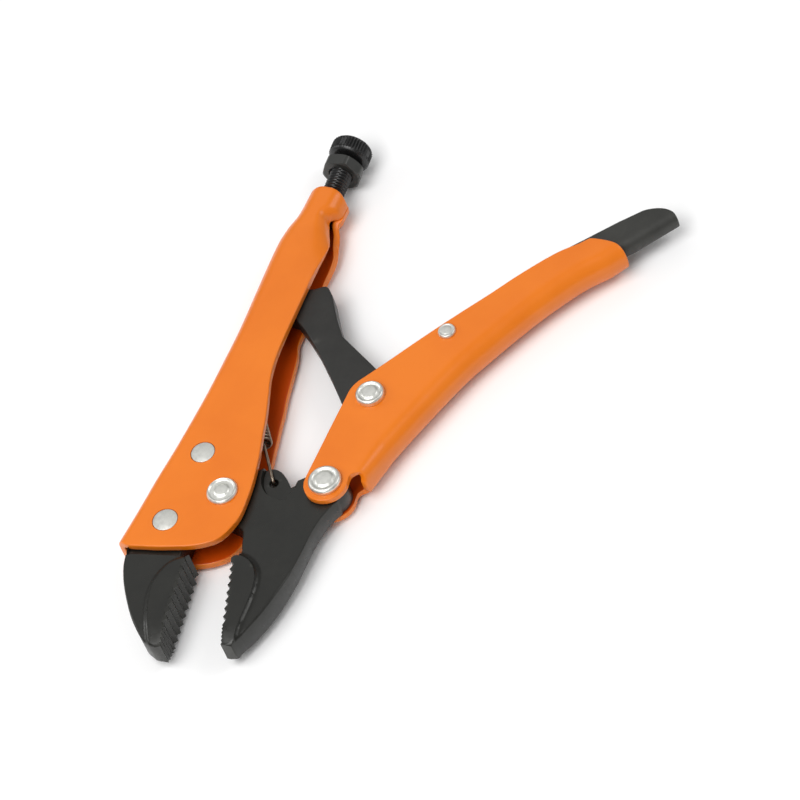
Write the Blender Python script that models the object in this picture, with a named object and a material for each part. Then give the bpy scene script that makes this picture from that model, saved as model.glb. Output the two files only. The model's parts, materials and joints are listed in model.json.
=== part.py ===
"""Locking pliers of the 5-inch size, wide open, lying on their side.

Frame: X runs from the jaws to the tail, Y from the lower handle to the main handle, Z through the thickness.
The origin is on the jaw pivot's axis, where its lower rivet head rests on the table. Lengths here are in
millimetres and become metres when a mesh is made.
"""

import math

import bmesh
import bpy
from mathutils import Matrix, Vector

MM = 0.001
GAP = 0.25                      # clearance between neighbouring pieces

# ---- driving dimensions -------------------------------------------------------------------------------------
MAIN_HALF = 4.25                # half the outer width of the main handle
MAIN_SHEET = 1.6
COLLAR_INSET = 0.13             # how much narrower each side is where the main handle closes round the screw
LOWER_HALF = 3.95               # half the outer width of the lower handle
LOWER_SHEET = 1.4
LEVER_SHEET = 1.1
HEAD_PROUD = 0.8                # how far the pivot rivet stands out of the main handle
TALL_HEAD = LOWER_HALF + 1.3    # top of the formed heads on the lower handle, over the mid-plane
MID = MAIN_HALF + HEAD_PROUD    # height of the tool's mid-plane over the table

FIXED_PAD_HALF = 4.15           # half thickness of the toothed pads
MOVING_PAD_HALF = 3.75
FIXED_BODY_HALF = 3.6
SHANK_HALF = MAIN_HALF - MAIN_SHEET - GAP
MOVING_NOSE_HALF = 3.0          # the moving jaw's body behind its pad
MOVING_BODY_HALF = 2.3
LINK_HALF = 2.2
LEVER_HALF = LOWER_HALF - LOWER_SHEET - GAP
EAR_HALF = 1.2

TOOTH_DEPTH = 0.72
FIXED_TEETH = 9
MOVING_TEETH = 8

JAW_PIVOT = (0.0, 0.0)
FIXED_FRONT = (-9.3, 9.2)
FIXED_REAR = (8.55, 8.6)
HANDLE_PIVOT = (7.36, -20.63)
LINK_PIVOT = (30.37, -21.19)
RELEASE_PIVOT = (49.6, -30.9)
SPRING_EAR = (6.4, -8.3)
SPRING_TAB = (33.3, 11.1)
LINK_NOSE = (51.6, 10.3)

SCREW_TILT = math.radians(3.6)  # the screw rises towards the spine
SCREW_POINT = (85.8, 12.2)      # a point on the screw's axis
SCREW_TIP, NUT_FACE, NUT_BACK, HEAD_FACE, HEAD_END = 63.2, 88.85, 91.75, 93.3, 97.2
THREAD_R, HEAD_R = 2.3, 4.65
NUT_ACROSS_FLATS = 8.3

# ---- outlines in the XY plane -------------------------------------------------------------------------------
SPINE = [(-16.4, 17.5), (-8.8, 17.0), (1.2, 16.5), (8, 16.0), (16, 15.6), (24, 15.4), (32, 15.5), (41, 15.8),
         (52, 16.7), (62, 17.5), (67, 17.7), (70.5, 17.4), (74, 16.6), (78, 16.4), (83, 16.6)]
BELLY = [(-9, -5.3), (-5.5, -6.2), (0.5, -5.9), (5.5, -5.1), (10.5, -3.9), (15.5, -2.4), (20.5, -1.0),
         (25.5, 0.7), (30.5, 2.4), (35.5, 3.4), (41, 3.9), (50, 4.3), (60, 4.7), (66, 4.9), (70, 5.5), (74, 6.5),
         (78, 7.0), (83, 7.2)]
FAR_BELLY_DROP = [(7, 0.0), (12, 0.9), (18, 1.7), (27, 1.9), (33, 1.6), (41, 0.5), (44, 0.2), (48, 0.0)]
TAIL = [(6.7, 80.4), (8.0, 81.4), (9.3, 81.8), (12.4, 81.9), (16.8, 81.7)]     # height, rear edge at that height
MOUTH = [(-5.3, -9.0), (-4.4, -10.8), (-2.0, -12.8), (0.8, -14.1), (5.5, -15.4), (8.5, -16.1), (11.5, -16.6),
         (14.3, -17.0), (17.5, -16.4)]                 # height, front edge of the main handle at that height
LOWER_PAIRS = [((1.0, -29.5), (1.0, -15.85)), ((7.0, -29.0), (7.0, -15.85)), ((12.3, -28.1), (12.8, -15.85)),
               ((19.3, -30.2), (20.5, -15.85)), ((27.0, -32.6), (29.6, -15.85)), ((34.5, -35.1), (38.6, -20.2)),
               ((42.6, -38.1), (47.0, -26.0)), ((49.6, -41.5), (54.2, -31.0)), ((56.0, -44.8), (60.8, -35.8)),
               ((63.0, -48.8), (67.8, -40.7)), ((70.0, -53.6), (74.4, -46.0)), ((74.9, -58.1), (78.1, -50.2)),
               ((77.5, -60.2), (79.7, -51.8))]
LEVER_PAIRS = [((37.0, -32.2), (37.6, -29.0)), ((41.0, -33.4), (41.8, -28.6)), ((46.0, -35.6), (47.6, -28.9)),
               ((50.5, -38.2), (53.6, -32.6)), ((57.0, -42.3), (60.4, -36.4)), ((64.0, -46.6), (67.8, -40.2)),
               ((70.5, -50.8), (74.6, -44.7)), ((77.0, -56.4), (81.4, -50.9)), ((82.0, -61.1), (86.6, -55.7)),
               ((86.0, -65.2), (90.4, -59.5)), ((88.9, -67.9), (91.7, -62.6))]

FIXED_BODY = [(-16.3, 1.4), (-17.0, 5.5), (-17.8, 10.0), (-18.7, 14.4), (-21.5, 13.6), (-25.0, 11.9), (-29.0, 9.3),
              (-33.0, 6.2), (-36.0, 3.2), (-37.4, 1.4), (-38.0, -0.4), (-38.0, -2.0)]
FIXED_PAD = [(-16.0, 1.9), (-18.2, 2.5), (-21.0, 4.5), (-24.3, 5.1), (-29.3, 3.9), (-34.3, 1.9), (-37.9, 0.2),
             (-38.1, -1.2), (-37.7, -2.75)]
SHANK = [(-19.5, 3.0), (-19.5, 12.0), (-17.4, 14.6), (-14.0, 15.0), (0.0, 14.3), (12.4, 13.4), (12.8, 6.0),
         (10.6, 4.4)]
MOVING_BODY = [(-5.3, -2.4), (-5.9, -5.0), (-6.6, -7.0), (-12.6, -9.7), (-15.0, -11.5), (-30.0, -15.2),
               (-33.3, -15.4), (-33.3, -16.9), (-31.9, -17.6), (-28.4, -19.0), (-24.5, -20.2), (-20.0, -21.1),
               (-15.4, -21.8), (-9.0, -22.0), (-3.4, -22.1), (0.0, -22.6), (2.6, -23.4), (4.3, -24.2)]
MOVING_NOSE = [(-34.1, -15.4), (-33.9, -17.0), (-32.1, -17.7), (-28.6, -19.1), (-24.6, -20.3), (-20.1, -21.2),
               (-15.4, -21.7), (-14.0, -12.5), (-20.0, -12.6), (-28.0, -14.8)]
MOVING_FLANK = [(11.3, -19.0), (8.5, -14.8), (6.2, -12.4), (8.3, -10.3), (9.6, -8.3), (9.8, -6.7), (8.9, -5.0),
                (6.9, -3.4)]
MOVING_PAD = [(-14.6, -8.6), (-13.9, -8.8), (-13.6, -10.4), (-14.3, -12.4), (-16.3, -14.3), (-19.3, -15.6),
              (-24.3, -16.5), (-29.3, -16.9), (-33.9, -17.0), (-34.2, -15.0)]
LINK_LEFT = [(28.3, -14.8), (34.5, -9.3), (40.7, -3.4), (44.8, 1.2), (47.6, 4.9), (48.1, 8.4)]
LINK_RIGHT = [(55.3, 8.0), (55.9, 4.2), (57.2, 1.5), (55.2, -0.8), (49.1, -4.7), (45.2, -7.6), (38.5, -18.5)]

COLOURS = {                     # linear base colour, roughness, metallic
    "orange_paint": ((0.85, 0.23, 0.035), 0.38, 0.0),
    "black_forging": ((0.036, 0.036, 0.032), 0.42, 0.6),
    "bright_rivet": ((0.62, 0.62, 0.58), 0.28, 1.0),
    "black_screw": ((0.02, 0.02, 0.02), 0.35, 0.7),
    "spring_wire": ((0.25, 0.20, 0.15), 0.35, 1.0),
}


# ---- helpers ------------------------------------------------------------------------------------------------
def clear_scene():
    for ob in list(bpy.data.objects):
        bpy.data.objects.remove(ob, do_unlink=True)


def material(slot):
    mat = bpy.data.materials.get(slot)
    if mat is None:
        colour, roughness, metallic = COLOURS[slot]
        mat = bpy.data.materials.new(slot)
        mat.use_nodes = True
        shader = mat.node_tree.nodes["Principled BSDF"]
        shader.inputs["Base Color"].default_value = (*colour, 1.0)
        shader.inputs["Roughness"].default_value = roughness
        shader.inputs["Metallic"].default_value = metallic
    return mat


def make_object(name, bm, slot, pivot=JAW_PIVOT):
    """Turn a bmesh in millimetres into an object whose origin is on its joint's axis at mid-thickness."""
    origin = Vector((pivot[0], pivot[1], 0.0))
    bmesh.ops.translate(bm, verts=bm.verts, vec=-origin)
    bmesh.ops.scale(bm, verts=bm.verts, vec=(MM, MM, MM))
    bmesh.ops.recalc_face_normals(bm, faces=bm.faces)
    if bm.calc_volume(signed=True) < 0:
        bmesh.ops.reverse_faces(bm, faces=bm.faces)
    mesh = bpy.data.meshes.new(name)
    bm.to_mesh(mesh)
    bm.free()
    mesh.shade_smooth()
    mesh.set_sharp_from_angle(angle=math.radians(32))
    if slot:
        mesh.materials.append(material(slot))
    ob = bpy.data.objects.new(name, mesh)
    bpy.context.collection.objects.link(ob)
    ob.location = (origin + Vector((0.0, 0.0, MID))) * MM
    return ob


def add_bevel(ob, width, segments=2, angle=35):
    bevel = ob.modifiers.new("bevel", "BEVEL")
    bevel.width = width * MM
    bevel.segments = segments
    bevel.limit_method = "ANGLE"
    bevel.angle_limit = math.radians(angle)
    bevel.use_clamp_overlap = True


def combine(ob, tool, operation):
    """Add a Boolean to ob, and keep the tool as a hidden guide."""
    mod = ob.modifiers.new(tool.name, "BOOLEAN")
    mod.operation = operation
    mod.solver = "EXACT"
    mod.object = tool
    tool.hide_render = True
    tool.display_type = "WIRE"


def arc(centre, radius, start, end, count):
    """Points on a circular arc, angles in degrees."""
    points = []
    for i in range(count + 1):
        a = math.radians(start + (end - start) * i / count)
        points.append((centre[0] + radius * math.cos(a), centre[1] + radius * math.sin(a)))
    return points


def curve_through(points):
    """A smooth function through points with rising first coordinates (cubic Hermite segments)."""
    xs = [p[0] for p in points]
    ys = [p[1] for p in points]
    steps = [(ys[i + 1] - ys[i]) / (xs[i + 1] - xs[i]) for i in range(len(xs) - 1)]
    slopes = [steps[0]] + [(a + b) / 2 for a, b in zip(steps, steps[1:])] + [steps[-1]]

    def value(x):
        if x <= xs[0]:
            return ys[0]
        if x >= xs[-1]:
            return ys[-1]
        i = max(k for k in range(len(xs) - 1) if xs[k] <= x)
        h = xs[i + 1] - xs[i]
        t = (x - xs[i]) / h
        return ((2 * t**3 - 3 * t**2 + 1) * ys[i] + (t**3 - 2 * t**2 + t) * h * slopes[i]
                + (3 * t**2 - 2 * t**3) * ys[i + 1] + (t**3 - t**2) * h * slopes[i + 1])

    return value


def prism(outline, low, high):
    """An outline in XY extruded between two heights."""
    bm = bmesh.new()
    bottom = bm.faces.new([bm.verts.new((x, y, low)) for x, y in outline])
    top = bmesh.ops.extrude_face_region(bm, geom=[bottom])
    raised = [v for v in top["geom"] if isinstance(v, bmesh.types.BMVert)]
    bmesh.ops.translate(bm, verts=raised, vec=(0.0, 0.0, high - low))
    return bm


def turned(profile, segments, centre=(0.0, 0.0)):
    """A body turned about Z. The profile is (radius, height) pairs that start and end on the axis."""
    bm = bmesh.new()
    rings = []
    for radius, height in profile:
        count = 1 if radius == 0 else segments
        ring = []
        for k in range(count):
            a = 2 * math.pi * k / segments
            ring.append(bm.verts.new((centre[0] + radius * math.cos(a), centre[1] + radius * math.sin(a), height)))
        rings.append(ring)
    for lower, upper in zip(rings, rings[1:]):
        for k in range(segments):
            corners = [lower[k % len(lower)], lower[(k + 1) % len(lower)],
                       upper[(k + 1) % len(upper)], upper[k % len(upper)]]
            bm.faces.new(list(dict.fromkeys(corners)))
    return bm


def drill(ob, centre, radius, half=6.0, segments=28, name="drill"):
    """Cut a round hole through ob along Z."""
    tool = turned([(0, -half), (radius, -half), (radius, half), (0, half)], segments, centre)
    combine(ob, make_object(f"{ob.name}_{name}", tool, None), "DIFFERENCE")


def loft(rings):
    """Skin closed rings of points, all of one length, and close the ends with strips across each ring."""
    bm = bmesh.new()
    loops = [[bm.verts.new(p) for p in ring] for ring in rings]
    size = len(loops[0])
    for a, b in zip(loops, loops[1:]):
        for k in range(size):
            bm.faces.new((a[k], a[(k + 1) % size], b[(k + 1) % size], b[k]))
    for loop in (loops[0], loops[-1]):
        for k in range(size // 2 - 1):
            bm.faces.new((loop[k], loop[k + 1], loop[size - 2 - k], loop[size - 1 - k]))
    return bm


def channel_side(depth, half, corner, lip, wall_steps, corner_steps):
    """One wall of a folded channel, from its open edge over half of the spine, as (z, distance from the spine)."""
    curl = 0.7 * (depth - corner)
    roundness = min(1.0, max(0.0, (lip - 1.6) / 1.3))
    side = []
    for i in range(wall_steps + 1):
        t = i / wall_steps
        leaning = (half - lip * (1 - t) ** 2, depth - curl * t)
        rounded = (half - lip * (1 - math.sin(t * math.pi / 2)), depth - curl * (1 - math.cos(t * math.pi / 2)))
        side.append(tuple(a + (b - a) * roundness for a, b in zip(leaning, rounded)))
    for i in range(corner_steps + 1):
        a = math.pi / 2 * i / corner_steps
        side.append((half - corner * (1 - math.cos(a)), corner * (1 - math.sin(a))))
    return side


def channel_section(depth, half, corner, lip, sheet, far_drop=0.0, wall_steps=4, corner_steps=6):
    """A folded channel's section as (z, distance from the spine), outside then inside.

    The open edges are lip millimetres nearer the mid-plane than the walls, corner is the fold's outer radius,
    and the lower wall is far_drop deeper than the upper one.
    """
    corner = min(corner, half - 0.15)
    lip = min(lip, half - 0.14)
    near = channel_side(depth, half, corner, lip, wall_steps, corner_steps)
    far = channel_side(depth + far_drop, half, corner, lip, wall_steps, corner_steps)
    outer = near + [(-z, d) for z, d in reversed(far)]
    inner = []
    for i, (z, d) in enumerate(outer):
        before = outer[max(i - 1, 0)]
        after = outer[min(i + 1, len(outer) - 1)]
        tangent = Vector((after[0] - before[0], after[1] - before[1])).normalized()
        inside = max(0.08, abs(z) - abs(tangent.y) * sheet)
        inner.append((math.copysign(inside, z), d - tangent.x * sheet))
    return outer + inner[::-1]


# ---- pieces of folded sheet -----------------------------------------------------------------------------------
def main_handle():
    """The channel's walls run from the spine down to the belly, and close round the screw at the tail.

    slack is 1 at the front, where the sections lean to follow the mouth's curve, and 0 behind it.
    """
    spine, belly, mouth = curve_through(SPINE), curve_through(BELLY), curve_through(MOUTH)
    corner = curve_through([(-17, 2.4), (30, 2.6), (50, 3.4), (70, 4.12), (84, 4.12)])
    lip = curve_through([(0, 0.0), (50, 0.0), (57, 0.1), (61, 0.8), (66, 1.6), (70, 2.9), (74, 3.95), (84, 4.0)])
    slack = curve_through([(-9, 1.0), (0, 0.42), (10, 0.0)])
    drop, tail = curve_through(FAR_BELLY_DROP), curve_through(TAIL)
    rings = []
    for x in (-9, -8, -6, -3, 0, 4, 8, 12, 17, 22, 27, 32, 37, 41, 45, 50, 55, 60, 64, 67, 70, 72, 74, 76, 78, 80):
        top, low = spine(x - 8.0 * slack(x)), belly(x)
        ring = []
        half = MAIN_HALF - COLLAR_INSET * (x > 69)
        for z, d in channel_section(top - low, half, corner(x), lip(x), MAIN_SHEET, drop(x)):
            y = top - d
            along = tail(y) if x == 80 else x + (mouth(y) + 9.0) * slack(x)
            ring.append((along, y, z))
        rings.append(ring)
    ob = make_object("main_handle", loft(rings), "orange_paint")
    tab = SPRING_TAB
    tab_outline = [(tab[0] + 1.5, 14.6), (tab[0] - 1.5, 14.6)] + arc(tab, 1.5, 180, 360, 8)
    combine(ob, make_object("main_handle_tab", prism(tab_outline, -0.6, 0.6), None), "UNION")
    drill(ob, tab, 0.75, 1.5, 14, "tab_hole")
    drill(ob, FIXED_FRONT, 2.6 + GAP, name="front_hole")
    drill(ob, FIXED_REAR, 2.5 + GAP, name="rear_hole")
    drill(ob, JAW_PIVOT, 2.3 + GAP, name="pivot_hole")
    return ob


def paired_channel(pairs, half, corner, sheet, lip, bulge):
    """A channel whose sections run from points on the spine to points on the open edge.

    bulge rounds the closed end outwards, and corner(i) is the fold's radius at section i.
    """
    rings = []
    for i, (back, edge) in enumerate(pairs):
        back, edge = Vector(back), Vector(edge)
        depth = (edge - back).length
        across = (edge - back) / depth
        along = Vector((across.y, -across.x))
        last = i == len(pairs) - 1
        ring = []
        for z, d in channel_section(depth, half, corner(i), lip(i), sheet):
            out = bulge * math.sin(math.pi * min(1.0, max(0.0, d / depth))) if last else 0.0
            point = back + across * d + along * out
            ring.append((point.x, point.y, z))
        rings.append(ring)
    return loft(rings)


def lower_handle():
    """The second channel: its walls end in round ears, and its fold starts behind them."""
    bm = paired_channel(LOWER_PAIRS, LOWER_HALF, lambda i: LOWER_HALF, LOWER_SHEET, lambda i: 0.0, 1.1)
    ob = make_object("lower_handle", bm, "orange_paint", HANDLE_PIVOT)
    ear = 4.7
    px, py = HANDLE_PIVOT
    outside = ([(px, py + ear + 2), (px, py + ear)] + arc(HANDLE_PIVOT, ear, 95, 285, 22)
               + [(10.2, -25.5), (11.5, -26.0), (12.2, -27.0), (12.4, -32.0), (-4.0, -32.0), (-4.0, py + ear + 2)])
    combine(ob, make_object("lower_handle_ear_cut", prism(outside, -6, 6), None), "DIFFERENCE")
    drill(ob, HANDLE_PIVOT, 2.2 + GAP, name="pivot_hole")
    drill(ob, LINK_PIVOT, 2.0 + GAP, name="link_hole")
    drill(ob, RELEASE_PIVOT, 1.2 + GAP, name="release_hole", segments=20)
    return ob


def release_lever():
    """A trough nested in the lower handle, with a front arm under the link and a tail past the handle's end."""
    bm = paired_channel(LEVER_PAIRS, LEVER_HALF, lambda i: 1.6 + 0.3 * i, LEVER_SHEET,
                        lambda i: 0.0, 0.8)
    ob = make_object("release_lever", bm, "black_forging", RELEASE_PIVOT)
    drill(ob, RELEASE_PIVOT, 1.2 + GAP, name="pivot_hole", segments=20)
    return ob


# ---- forgings and plates --------------------------------------------------------------------------------------
def teeth(start, end, count, side):
    """V teeth on a straight line from start to end. side is +1 where the metal is above the line."""
    start, end = Vector(start), Vector(end)
    along = (end - start) / count
    across = Vector((-along.y, along.x)).normalized() * side
    points = []
    for k in range(count):
        crest = start + along * k
        root = crest + along * 0.62 + across * TOOTH_DEPTH
        points += [tuple(crest), tuple(root)]
    return points + [tuple(end)]


def nose_cut(ob, tip, run, half):
    """Taper a jaw's nose on both sides: its half thickness falls from half by 1.3 over run."""
    for side in (1, -1):
        bm = bmesh.new()
        wedge = [(tip + run, half), (tip, half - 1.3), (tip - 3, half - 2.0), (tip - 3, half + 3),
                 (tip + run, half + 3)]
        low = bm.faces.new([bm.verts.new((x, -30, z * side)) for x, z in wedge])
        top = bmesh.ops.extrude_face_region(bm, geom=[low])
        raised = [v for v in top["geom"] if isinstance(v, bmesh.types.BMVert)]
        bmesh.ops.translate(bm, verts=raised, vec=(0.0, 50.0, 0.0))
        combine(ob, make_object(f"{ob.name}_nose_{side + 1}", bm, None), "DIFFERENCE")


def fixed_jaw():
    """The upper jaw: thick outside the handle, with a thinner shank between the handle's walls."""
    edge = teeth((-33.7, -2.1), (-15.9, 0.7), FIXED_TEETH, 1)
    ob = make_object("fixed_jaw", prism(FIXED_PAD + edge, -FIXED_PAD_HALF, FIXED_PAD_HALF), "black_forging")
    top_of_pad = [(-36.5, -1.2), (-30.0, -0.2), (-17.6, 1.3)]
    combine(ob, make_object("fixed_jaw_body", prism(FIXED_BODY + top_of_pad, -FIXED_BODY_HALF, FIXED_BODY_HALF),
                            None), "UNION")
    lower = arc(JAW_PIVOT, 6.6, 30, 150, 10)
    combine(ob, make_object("fixed_jaw_shank", prism(SHANK + lower, -SHANK_HALF, SHANK_HALF), None), "UNION")
    nose_cut(ob, -38.3, 3.6, FIXED_PAD_HALF)
    drill(ob, FIXED_FRONT, 2.6 + GAP, name="front_hole")
    drill(ob, FIXED_REAR, 2.5 + GAP, name="rear_hole")
    return ob


def moving_jaw():
    """The lower jaw, with the pivot boss, the spring's thin ear and the tail that carries the lower handle."""
    edge = teeth((-30.25, -13.65), (-15.45, -8.9), MOVING_TEETH, -1)
    ob = make_object("moving_jaw", prism(MOVING_PAD + edge, -MOVING_PAD_HALF, MOVING_PAD_HALF), "black_forging")
    tail = arc(HANDLE_PIVOT, 4.3, 235, 380, 12)
    boss = arc(JAW_PIVOT, 5.8, -30, 200, 18)
    body = prism(MOVING_BODY + tail + MOVING_FLANK + boss, -MOVING_BODY_HALF, MOVING_BODY_HALF)
    combine(ob, make_object("moving_jaw_body", body, None), "UNION")
    nose = prism(MOVING_NOSE, -MOVING_NOSE_HALF, MOVING_NOSE_HALF)
    combine(ob, make_object("moving_jaw_nose", nose, None), "UNION")
    nose_cut(ob, -34.1, 3.0, MOVING_PAD_HALF)
    ear = [(2.6, -12.2), (2.8, -8.4), (5.4, -6.0), (11.0, -4.5), (12.0, -13.0), (5.6, -13.4)]
    for low, high, name in ((EAR_HALF, 5.0, "top"), (-5.0, -EAR_HALF, "bottom")):
        combine(ob, make_object(f"moving_jaw_ear_{name}", prism(ear, low, high), None), "DIFFERENCE")
    drill(ob, JAW_PIVOT, 2.3 + GAP, name="pivot_hole")
    drill(ob, HANDLE_PIVOT, 2.2 + GAP, name="handle_hole")
    drill(ob, SPRING_EAR, 0.95, name="ear_hole", segments=16)
    return ob


def toggle_link():
    """The plate that stands on the lower handle's pivot and leans on the screw's tip."""
    outline = (LINK_LEFT + arc(LINK_NOSE, 3.5, 185, 0, 12) + LINK_RIGHT
               + arc(LINK_PIVOT, 5.4, -32, -215, 14))
    ob = make_object("toggle_link", prism(outline, -LINK_HALF, LINK_HALF), "black_forging", LINK_PIVOT)
    drill(ob, LINK_PIVOT, 2.0 + GAP, name="pivot_hole")
    add_bevel(ob, 0.25, 1)
    return ob


# ---- fasteners --------------------------------------------------------------------------------------------------
def flush_rivet(name, centre, radius):
    half = MAIN_HALF
    profile = [(0, -half), (radius - 0.15, -half), (radius, 0.15 - half), (radius, half - 0.15),
               (radius - 0.15, half), (0, half)]
    return make_object(name, turned(profile, 28, centre), "bright_rivet")


def pivot_rivet(name, centre, shank, head, wall, low, top, pivot):
    """A proud rivet: a flat factory head below, and a dished head with a raised middle above."""
    seat = wall + 0.2
    profile = [(0, -low), (head - 0.3, -low), (head, 0.3 - low), (head, -seat), (shank, -seat), (shank, seat),
               (head, seat), (head, top - 0.3), (head - 0.3, top), (head * 0.72, top), (head * 0.6, top - 0.25),
               (head * 0.52, top), (0, top + 0.1)]
    return make_object(name, turned(profile, 28, centre), "bright_rivet", pivot)


def on_screw_axis(bm):
    """Move a body turned about Z, with its heights measured as X along the tool, onto the screw's axis."""
    lay_down = Matrix.Rotation(math.pi / 2, 4, "Y")
    tilt = Matrix.Rotation(SCREW_TILT, 4, "Z")
    start = Matrix.Translation((-SCREW_POINT[0], 0, 0))
    place = Matrix.Translation((SCREW_POINT[0], SCREW_POINT[1], 0))
    bmesh.ops.transform(bm, matrix=place @ tilt @ start @ lay_down, verts=bm.verts)
    return bm


def adjusting_screw():
    profile = [(0, SCREW_TIP), (1.5, SCREW_TIP), (THREAD_R, SCREW_TIP + 0.9), (THREAD_R, NUT_BACK + 0.3),
               (3.2, NUT_BACK + 0.3), (3.2, HEAD_FACE + 0.6), (3.9, HEAD_FACE), (HEAD_R - 0.1, HEAD_FACE),
               (HEAD_R, HEAD_FACE + 0.3), (HEAD_R, HEAD_END - 0.6), (HEAD_R - 0.6, HEAD_END), (0, HEAD_END)]
    return make_object("adjusting_screw", on_screw_axis(turned(profile, 36)), "black_screw", SCREW_POINT)


def lock_nut():
    corner = NUT_ACROSS_FLATS / 2 / math.cos(math.pi / 6)
    hexagon = arc((0, 0), corner, 24, 324, 5)
    ob = make_object("lock_nut", on_screw_axis(prism(hexagon, NUT_FACE, NUT_BACK)), "black_screw", SCREW_POINT)
    hole = on_screw_axis(turned([(0, 80), (THREAD_R + GAP, 80), (THREAD_R + GAP, 99), (0, 99)], 24))
    combine(ob, make_object("lock_nut_hole", hole, None, SCREW_POINT), "DIFFERENCE")
    return ob


def tube(points, radius, sides):
    """A round wire along points, its frame carried from point to point."""
    points = [Vector(p) for p in points]
    bm = bmesh.new()
    rings = []
    normal = None
    for i, point in enumerate(points):
        ahead = points[min(i + 1, len(points) - 1)] - points[max(i - 1, 0)]
        ahead.normalize()
        normal = (normal or Vector((0.3, 0.2, 1.0))) - ahead * ahead.dot(normal or Vector((0.3, 0.2, 1.0)))
        normal.normalize()
        side = ahead.cross(normal)
        rings.append([bm.verts.new(point + radius * (math.cos(2 * math.pi * k / sides) * normal
                                                     + math.sin(2 * math.pi * k / sides) * side))
                      for k in range(sides)])
    for a, b in zip(rings, rings[1:]):
        for k in range(sides):
            bm.faces.new((a[k], a[(k + 1) % sides], b[(k + 1) % sides], b[k]))
    bm.faces.new(rings[0])
    bm.faces.new(rings[-1][::-1])
    return bm


def return_spring():
    """An extension spring with a straight hook to the moving jaw's ear and another to the handle's tab."""
    wire, coil, pitch, turns, steps = 0.33, 1.45, 0.92, 15, 9
    ear, tab = Vector((*SPRING_EAR, 0)), Vector((*SPRING_TAB, 0))
    along = (tab - ear).normalized()
    across = Vector((-along.y, along.x, 0))
    up = Vector((0, 0, 1))
    begin = ear + along * 11.5
    reach = EAR_HALF + 0.85
    points = [ear - up * reach, ear, ear + up * (reach - 0.45), ear + up * reach + along * 0.5]
    for k in range(turns * steps + 1):
        a = 2 * math.pi * k / steps
        points.append(begin + along * (pitch * k / steps) + coil * (math.cos(a) * up + math.sin(a) * across))
    back = 0.6 + 0.75
    points += [tab + up * back - along * 0.6, tab + up * (back - 0.35), tab, tab - up * back]
    return make_object("return_spring", tube(points, wire, 6), "spring_wire")


def main():
    clear_scene()
    main_handle()
    lower_handle()
    release_lever()
    fixed_jaw()
    moving_jaw()
    toggle_link()
    flush_rivet("fixed_jaw_rivet_front", FIXED_FRONT, 2.6)
    flush_rivet("fixed_jaw_rivet_rear", FIXED_REAR, 2.5)
    pivot_rivet("jaw_pivot_rivet", JAW_PIVOT, 2.3, 3.35, MAIN_HALF, MID, MID, JAW_PIVOT)
    pivot_rivet("handle_pivot_rivet", HANDLE_PIVOT, 2.2, 3.49, LOWER_HALF, LOWER_HALF + 0.9, TALL_HEAD,
                HANDLE_PIVOT)
    pivot_rivet("link_pivot_rivet", LINK_PIVOT, 2.0, 3.07, LOWER_HALF, LOWER_HALF + 0.9, TALL_HEAD, LINK_PIVOT)
    pivot_rivet("release_pivot_rivet", RELEASE_PIVOT, 1.2, 1.93, LOWER_HALF, LOWER_HALF + 0.65, LOWER_HALF + 0.65,
                RELEASE_PIVOT)
    adjusting_screw()
    lock_nut()
    return_spring()


main()
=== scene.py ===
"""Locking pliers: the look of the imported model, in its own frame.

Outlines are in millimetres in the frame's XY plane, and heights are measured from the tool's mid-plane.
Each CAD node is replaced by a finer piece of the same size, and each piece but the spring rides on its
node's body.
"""

import json
import math

import bmesh
import bpy
import numpy as np
from mathutils import Matrix, Vector
from mathutils.geometry import delaunay_2d_cdt


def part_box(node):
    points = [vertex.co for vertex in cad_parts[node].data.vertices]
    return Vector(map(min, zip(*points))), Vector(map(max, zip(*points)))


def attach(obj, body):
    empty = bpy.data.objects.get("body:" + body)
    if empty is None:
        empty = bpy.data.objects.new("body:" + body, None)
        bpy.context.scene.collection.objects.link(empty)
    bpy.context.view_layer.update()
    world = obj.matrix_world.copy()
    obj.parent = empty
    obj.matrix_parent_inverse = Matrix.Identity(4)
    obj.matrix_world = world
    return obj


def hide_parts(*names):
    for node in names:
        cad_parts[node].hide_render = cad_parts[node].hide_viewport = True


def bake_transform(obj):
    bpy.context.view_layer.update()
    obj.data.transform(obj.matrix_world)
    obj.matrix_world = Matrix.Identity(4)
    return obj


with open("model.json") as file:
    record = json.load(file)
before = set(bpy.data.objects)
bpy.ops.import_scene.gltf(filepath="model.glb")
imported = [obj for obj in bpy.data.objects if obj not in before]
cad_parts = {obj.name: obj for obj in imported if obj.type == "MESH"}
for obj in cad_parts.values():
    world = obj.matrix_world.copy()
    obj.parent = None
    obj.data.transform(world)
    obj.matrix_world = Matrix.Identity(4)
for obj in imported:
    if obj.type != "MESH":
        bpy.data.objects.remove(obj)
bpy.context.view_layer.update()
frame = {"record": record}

MM = 0.001


# ---- what the frame says ----
def node_middle(node):
    low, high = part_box(node)
    return (Vector(low) + Vector(high)) / 2 / MM


def node_size(node):
    low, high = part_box(node)
    return (Vector(high) - Vector(low)) / MM


BODY_OF = {node: body for body, nodes in frame["record"]["behaviour"]["bodies"].items() for node in nodes}
MID = node_middle("main_handle").z
MAIN_HALF = node_size("main_handle").z / 2
LOWER_HALF = node_size("lower_handle").z / 2
LEVER_HALF = node_size("release_lever").z / 2
FIXED_PAD_HALF = node_size("fixed_jaw").z / 2
MOVING_PAD_HALF = node_size("moving_jaw").z / 2
LINK_HALF = node_size("toggle_link").z / 2
FIXED_FRONT, FIXED_REAR, JAW_PIVOT, HANDLE_PIVOT, LINK_PIVOT, RELEASE_PIVOT = (
    node_middle(name).xy for name in ("fixed_jaw_rivet_front", "fixed_jaw_rivet_rear", "jaw_pivot_rivet",
                                      "handle_pivot_rivet", "link_pivot_rivet", "release_pivot_rivet"))

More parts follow.
